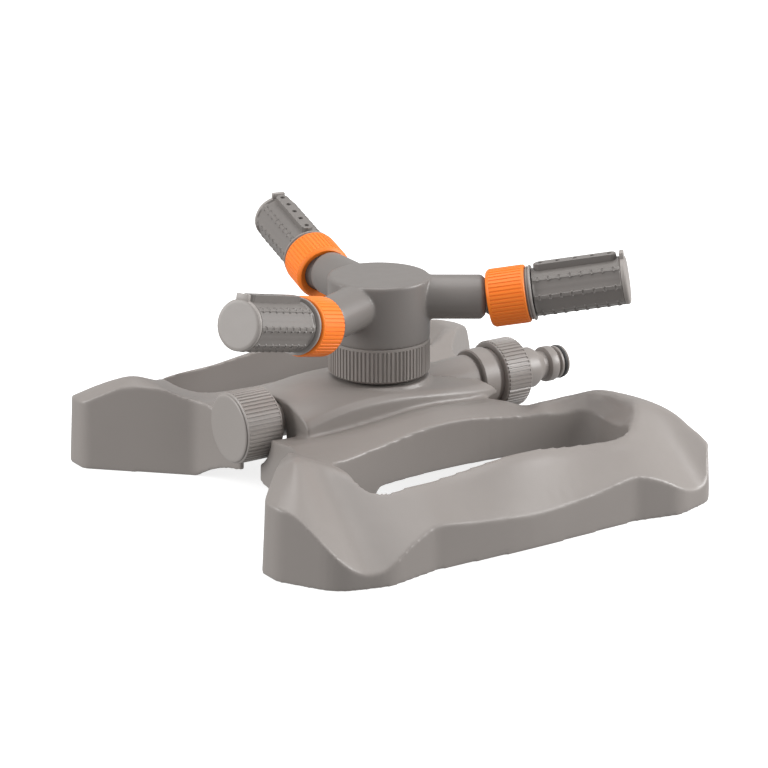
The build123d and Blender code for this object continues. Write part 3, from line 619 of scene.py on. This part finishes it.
        def shown(angle: float, along: float) -> float:
            """The outline's relief, which the flat ends don't have."""
            return self.outline(angle, along) if start + 0.4 < along < tip - 0.3 else 0.0

        bm = drawn_rings(rings, self.barrel_steps, shown, closed=True)
        finishes.darken(add_piece(bm, "barrel_ridged_" + self.name, place, "spray_" + self.name,
                                  Slot.GREY, finishes, ("barrel_" + self.name,), 40.0))

    def disc(self, place: Matrix, finishes: Finishes) -> None:
        """Makes the end disc with its chamfer."""
        start, face, reach = self.barrel_tip, self.disc_face, self.disc_radius
        rings = [
            (start - 4.0, self.spigot_radius), (start + SEAM_GAP, self.spigot_radius),
            (start + SEAM_GAP, reach - 0.2), (start + 0.4, reach),
            (face - 0.9, reach), (face - 0.3, reach - 0.35), (face, reach - 1.0),
            (face, reach - 1.8),
        ]
        bm = drawn_rings(rings, ROUND_STEPS)
        add_piece(bm, "end_disc_" + self.name, place, "spray_" + self.name, Slot.LIGHT, finishes,
                  ("end_plug_" + self.name,))

    def tab(self, place: Matrix, finishes: Finishes) -> None:
        """Makes the disc's small tab in line with the bar."""
        length = self.disc_face - self.tab_inset - self.barrel_tip
        low = self.disc_radius - 1.0
        high = self.barrel_radius + self.bar_height
        bm = bmesh.new()
        bmesh.ops.create_cube(bm, size=1.0)
        size = Matrix.Diagonal((2.0 * self.bar_half * MM, (high - low) * MM, length * MM, 1.0))
        middle = Vector((0.0, (low + high) / 2.0, self.barrel_tip + length / 2.0 + SEAM_GAP)) * MM
        bmesh.ops.transform(bm, matrix=Matrix.Translation(middle) @ size, verts=bm.verts)
        bmesh.ops.bevel(bm, geom=bm.edges[:], offset=0.35 * MM, segments=2, profile=0.5,
                        affect="EDGES", material=-1)
        add_piece(bm, "disc_tab_" + self.name, place, "spray_" + self.name, Slot.LIGHT, finishes)


@dataclass
class WaterWay:
    """What is screwed on the water pipe: the cap in front and the hose adaptor behind."""

    height: float = 36.0
    cap_radius: float = 16.3
    cap_rim: float = 1.8
    cap_chamfer: float = 1.6
    cap_floor: float = 5.0
    cap_ribs: int = 52
    nut_length: float = 14.5
    nut_radius: float = 16.5
    nut_ribs: int = 50
    groove_depth: float = 0.55
    thread_bore: float = 13.5
    washer_face: float = 76.0
    spigot_bore: float = 4.5
    seal_inset: float = 2.3
    seal_radius: float = 1.05
    seal_reach: float = 7.05

    def build(self, finishes: Finishes) -> None:
        """Makes the cap, the adaptor and the adaptor's sealing ring."""
        inlet = axis_frame((0.0, 0.0, self.height * MM), (1.0, 0.0, 0.0))
        self.cap(inlet, finishes)
        self.adaptor(inlet, finishes)
        self.seal(inlet, finishes)

    def cap(self, inlet: Matrix, finishes: Finishes) -> None:
        """Makes the knurled screw cap."""
        (face, back), reach = reach_of("end_cap"), self.cap_radius
        start, end = face + self.cap_rim, back - self.cap_chamfer
        rings = [
            (face, reach - 2.5), (face, reach - 1.5), (face + 0.15, reach - 1.1),
            (face + 0.5, reach - 0.85), (face + 0.9, reach - 1.1), (face + 1.0, reach - 0.5),
            (face + 1.3, reach - 0.1),
            (start, reach - 0.1), (start + 0.1, reach), (end - 0.1, reach), (end, reach - 0.3),
            (back - 0.3, reach - 1.5), (back, reach - 1.9), (back, self.thread_bore),
            (face + self.cap_floor, self.thread_bore),
        ]
        knurl = ribs(self.cap_ribs, self.groove_depth, start + 0.05, end - 0.05, KNURL_SHARE)
        bm = drawn_rings(rings, self.cap_ribs * 8, knurl)
        add_piece(bm, "screw_cap_knurled", inlet, "cap", Slot.LIGHT, finishes, ("end_cap",), 35.0)

    def adaptor(self, inlet: Matrix, finishes: Finishes) -> None:
        """Makes the adaptor: knurled nut, shoulder, neck, collar and grooved tip."""
        (start, tip), reach = reach_of("hose_adaptor"), self.nut_radius
        end = start + self.nut_length
        seal, half = tip - self.seal_inset, self.seal_radius
        rings = [
            (start, self.thread_bore), (start, reach - 1.2), (start + 0.3, reach - 0.7),
            (start + 1.0, reach - 0.5), (start + 1.1, reach), (end - 1.2, reach),
            (end - 1.1, reach - 0.3), (end - 0.3, reach - 0.9), (end + 0.2, reach - 1.9),
            (end + 0.4, 12.0), (end + 1.0, 11.4), (end + 2.6, 11.2), (end + 3.0, 10.6),
            (end + 3.2, 10.0), (end + 9.4, 9.7), (end + 10.2, 9.3), (end + 13.8, 7.0),
            (end + 14.6, 6.6), (end + 16.8, 6.6), (end + 17.2, 7.9), (end + 17.6, 8.4),
            (end + 18.0, 8.5), (end + 21.2, 8.5), (end + 21.8, 8.3), (end + 22.4, 7.5),
            (end + 22.7, 6.7), (end + 23.5, 6.7), (end + 23.7, 7.5), (end + 24.0, 7.8),
            (seal - half - 0.05, 7.8), (seal - half, 7.7), (seal - half, 6.0), (seal + half, 6.0),
            (seal + half, 7.6), (tip - 0.7, 7.8), (tip - 0.25, 7.6), (tip, 7.1),
            (tip, self.spigot_bore + 0.5), (tip - 0.4, self.spigot_bore),
            (self.washer_face, self.spigot_bore), (self.washer_face, self.thread_bore),
        ]
        knurl = ribs(self.nut_ribs, self.groove_depth, start + 1.05, end - 1.15, KNURL_SHARE)
        bm = drawn_rings(rings, self.nut_ribs * 8, knurl, closed=True)
        add_piece(bm, "hose_adaptor_knurled", inlet, "adaptor", Slot.GREY, finishes,
                  ("hose_adaptor",), 35.0)

    def seal(self, inlet: Matrix, finishes: Finishes) -> None:
        """Makes the round sealing ring in the tip's groove."""
        middle = reach_of("hose_adaptor")[1] - self.seal_inset
        bm = bmesh.new()
        bmesh.ops.create_circle(bm, segments=16, radius=self.seal_radius * MM,
                                matrix=Matrix.Translation((self.seal_reach * MM, 0.0, middle * MM))
                                @ Matrix.Rotation(math.pi / 2.0, 4, "X"))
        bmesh.ops.spin(bm, geom=bm.verts[:] + bm.edges[:], cent=(0.0, 0.0, 0.0), axis=(0.0, 0.0, 1.0),
                       angle=2.0 * math.pi, steps=96, use_merge=True, use_duplicate=False)
        bmesh.ops.remove_doubles(bm, verts=bm.verts, dist=0.001 * MM)
        bmesh.ops.recalc_face_normals(bm, faces=bm.faces)
        add_piece(bm, "spigot_seal", inlet, "adaptor", Slot.RUBBER, finishes, ("spigot_ring",))


@dataclass
class Studio:
    """Floor, lights, and the camera at the photograph's view; each light has place, side and watts."""

    azimuth: float = -33.75
    elevation: float = 17.61
    distance: float = 1.374948
    focal_px: float = 2800.0
    frame_px: float = 768.0
    sensor: float = 36.0
    target: tuple[float, float, float] = (0.045113, 0.063281, 0.018061)
    lights: dict[str, tuple[tuple[float, float, float], float, float]] = field(
        default_factory=lambda: {
            "top_softbox": ((0.0, 0.1, 1.2), 1.1, 9.0),
            "left_strip": ((-1.0, 0.35, 0.45), 0.6, 8.0),
            "right_strip": ((0.9, -0.6, 0.5), 0.6, 13.5),
        }
    )

    def build(self) -> None:
        """Makes the studio."""
        bpy.context.scene.view_settings.view_transform = "Standard"
        self.floor()
        self.world()
        self.camera()
        for name, (place, size, power) in self.lights.items():
            self.softbox(name, place, size, power)

    def floor(self) -> None:
        """Makes the pale floor."""
        bm = bmesh.new()
        bmesh.ops.create_grid(bm, x_segments=1, y_segments=1, size=6.0)
        mesh = bpy.data.meshes.new("floor")
        bm.to_mesh(mesh)
        bm.free()
        floor = bpy.data.objects.new("floor", mesh)
        floor.location.z = -0.0002
        bpy.context.scene.collection.objects.link(floor)
        pale = bpy.data.materials.new("pale_floor")
        pale.use_nodes = True
        shader = pale.node_tree.nodes["Principled BSDF"]
        shader.inputs["Base Color"].default_value = (0.5, 0.5, 0.5, 1.0)
        shader.inputs["Roughness"].default_value = 0.9
        shader.inputs["Emission Color"].default_value = (1.0, 1.0, 1.0, 1.0)
        shader.inputs["Emission Strength"].default_value = 0.8
        floor.data.materials.append(pale)
        floor.visible_diffuse = False
        floor.visible_glossy = False

    def world(self) -> None:
        """Makes the plain white surroundings."""
        world = bpy.data.worlds.new("white_room")
        bpy.context.scene.world = world
        world.use_nodes = True
        back = world.node_tree.nodes["Background"]
        back.inputs["Color"].default_value = (1.0, 1.0, 1.0, 1.0)
        back.inputs["Strength"].default_value = 0.55

    def camera(self) -> None:
        """Makes the camera that looks as the photograph's did."""
        around, above = math.radians(self.azimuth), math.radians(self.elevation)
        back = Vector((math.sin(around) * math.cos(above), -math.cos(around) * math.cos(above),
                       math.sin(above)))
        data = bpy.data.cameras.new("camera")
        data.sensor_width = self.sensor
        data.lens = self.sensor * self.focal_px / self.frame_px
        data.clip_start = 0.05
        data.clip_end = 20.0
        camera = bpy.data.objects.new("camera", data)
        camera.location = Vector(self.target) + back * self.distance
        camera.rotation_mode = "QUATERNION"
        camera.rotation_quaternion = (-back).to_track_quat("-Z", "Y")
        bpy.context.scene.collection.objects.link(camera)
        bpy.context.scene.camera = camera

    @staticmethod
    def softbox(name: str, place: tuple[float, float, float], size: float, power: float) -> None:
        """Makes one soft light that faces the object.

        Args:
            name: Name of the light.
            place: Where it hangs, in metres.
            size: Side of its square panel in metres.
            power: Its power in watts.
        """
        data = bpy.data.lights.new(name, "AREA")
        data.size = size
        data.energy = power
        light = bpy.data.objects.new(name, data)
        light.location = place
        light.rotation_mode = "QUATERNION"
        light.rotation_quaternion = (Vector((0.0, 0.0, 0.04)) - Vector(place)).to_track_quat("-Z", "Y")
        bpy.context.scene.collection.objects.link(light)


def dress_frame(finishes: Finishes) -> None:
    """Gives every CAD node the finish of its slot in the record."""
    slots = {part["node"]: Slot(part["material_slot"]) for part in frame["record"]["subparts"]}
    for node, thing in frame["nodes"].items():
        finishes.dress(thing, slots[node])
        if node.startswith("knuckle"):
            finishes.darken(thing)


def main() -> None:
    """Builds the looks piece by piece."""
    logging.basicConfig(level=logging.INFO)
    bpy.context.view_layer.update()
    finishes = Finishes()
    dress_frame(finishes)
    Studio().build()
    Sled().build(finishes)
    WaterWay().build(finishes)
    Rotor().build(finishes)
    for name in ("right", "rear", "front"):
        SprayArm(name).build(finishes)


if __name__ == "__main__":
    main()
